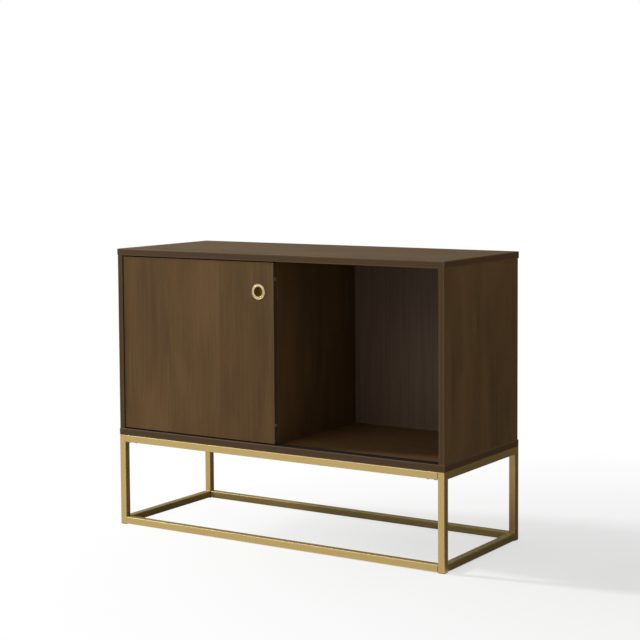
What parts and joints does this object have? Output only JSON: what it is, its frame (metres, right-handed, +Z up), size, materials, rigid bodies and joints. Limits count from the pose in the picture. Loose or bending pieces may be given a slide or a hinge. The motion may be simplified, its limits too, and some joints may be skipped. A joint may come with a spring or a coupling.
{
  "type": "record cabinet",
  "caption": "Low wooden cabinet with two open-fronted bays for records, a sliding door across the front and an open base of square metal tube.",
  "frame": {"origin": "on the floor, under the middle of the cabinet", "axes": "+X to the right along the width, +Y towards the back, +Z up; the front faces -Y"},
  "size_m": [1.016, 0.4064, 0.762],
  "materials": {
    "stained_wood": "dark walnut stain under satin lacquer",
    "back_board": "hardboard with a dark walnut print",
    "brass_paint": "satin brass-coloured paint on steel",
    "brass": "satin",
    "black_steel": "black oxide",
    "steel": "bright zinc",
    "black_nylon": "black nylon",
    "silicone": "clear silicone",
    "track_plastic": "dark grey extrusion",
    "foot_plastic": "moulded polyethylene"
  },
  "bodies": {
    "cabinet": {"top_panel": "stained_wood", "bottom_panel": "stained_wood", "left_side_panel": "stained_wood", "right_side_panel": "stained_wood", "center_divider": "stained_wood", "back_panel": "back_board", "top_track": "track_plastic", "bottom_track": "track_plastic", "leg_front_left": "brass_paint", "leg_front_right": "brass_paint", "leg_rear_left": "brass_paint", "leg_rear_right": "brass_paint", "side_rail_left_lower": "brass_paint", "side_rail_left_upper": "brass_paint", "side_rail_right_lower": "brass_paint", "side_rail_right_upper": "brass_paint", "long_rail_front_lower": "brass_paint", "long_rail_front_upper": "brass_paint", "long_rail_rear_lower": "brass_paint", "long_rail_rear_upper": "brass_paint", "foot_cap_front_left": "foot_plastic", "foot_cap_front_right": "foot_plastic", "foot_cap_rear_left": "foot_plastic", "foot_cap_rear_right": "foot_plastic", "rail_sleeve_front_left_lower": "black_steel", "rail_sleeve_front_left_upper": "black_steel", "rail_sleeve_front_right_lower": "black_steel", "rail_sleeve_front_right_upper": "black_steel", "rail_sleeve_rear_left_lower": "black_steel", "rail_sleeve_rear_left_upper": "black_steel", "rail_sleeve_rear_right_lower": "black_steel", "rail_sleeve_rear_right_upper": "black_steel", "clamp_bolt_front_left": "black_steel", "clamp_bolt_front_right": "black_steel", "clamp_bolt_rear_left": "black_steel", "clamp_bolt_rear_right": "black_steel", "panel_bolt_front_left": "black_steel", "panel_bolt_front_right": "black_steel", "panel_bolt_rear_left": "black_steel", "panel_bolt_rear_right": "black_steel"},
    "door": {"door_panel": "stained_wood", "finger_cup": "brass", "door_bumper_left_lower": "silicone", "door_bumper_left_upper": "silicone", "door_bumper_right_lower": "silicone", "door_bumper_right_upper": "silicone", "roller_housing_left": "black_nylon", "roller_housing_right": "black_nylon", "roller_axle_left": "steel", "roller_axle_right": "steel", "guide_housing_left": "black_nylon", "guide_housing_right": "black_nylon", "guide_spring_left": "steel", "guide_spring_right": "steel"},
    "left_roller": {"roller_wheel_left": "black_nylon"},
    "right_roller": {"roller_wheel_right": "black_nylon"},
    "left_guide": {"guide_pin_left": "black_steel"},
    "right_guide": {"guide_pin_right": "black_steel"}
  },
  "joints": [
    {"name": "door_slide", "type": "slide", "parent": "cabinet", "child": "door", "axis": [1, 0, 0], "range_m": [0, 0.4805]},
    {"name": "left_roller_spin", "type": "hinge", "parent": "door", "child": "left_roller", "pos_m": [-0.4185, -0.1922, 0.2763], "axis": [0, 1, 0], "continuous": true},
    {"name": "right_roller_spin", "type": "hinge", "parent": "door", "child": "right_roller", "pos_m": [-0.062, -0.1922, 0.2763], "axis": [0, 1, 0], "continuous": true},
    {"name": "left_guide_press", "type": "slide", "parent": "door", "child": "left_guide", "axis": [0, 0, 1], "range_m": [-0.008, 0], "stiffness_N_per_m": 150, "springref_m": 0.02, "deforming": ["guide_spring_left"]},
    {"name": "right_guide_press", "type": "slide", "parent": "door", "child": "right_guide", "axis": [0, 0, 1], "range_m": [-0.008, 0], "stiffness_N_per_m": 150, "springref_m": 0.02, "deforming": ["guide_spring_right"]}
  ],
  "couplings": [
    {"joint": "left_roller_spin", "follows": "door_slide", "rad_per_m": 125},
    {"joint": "right_roller_spin", "follows": "door_slide", "rad_per_m": 125}
  ]
}
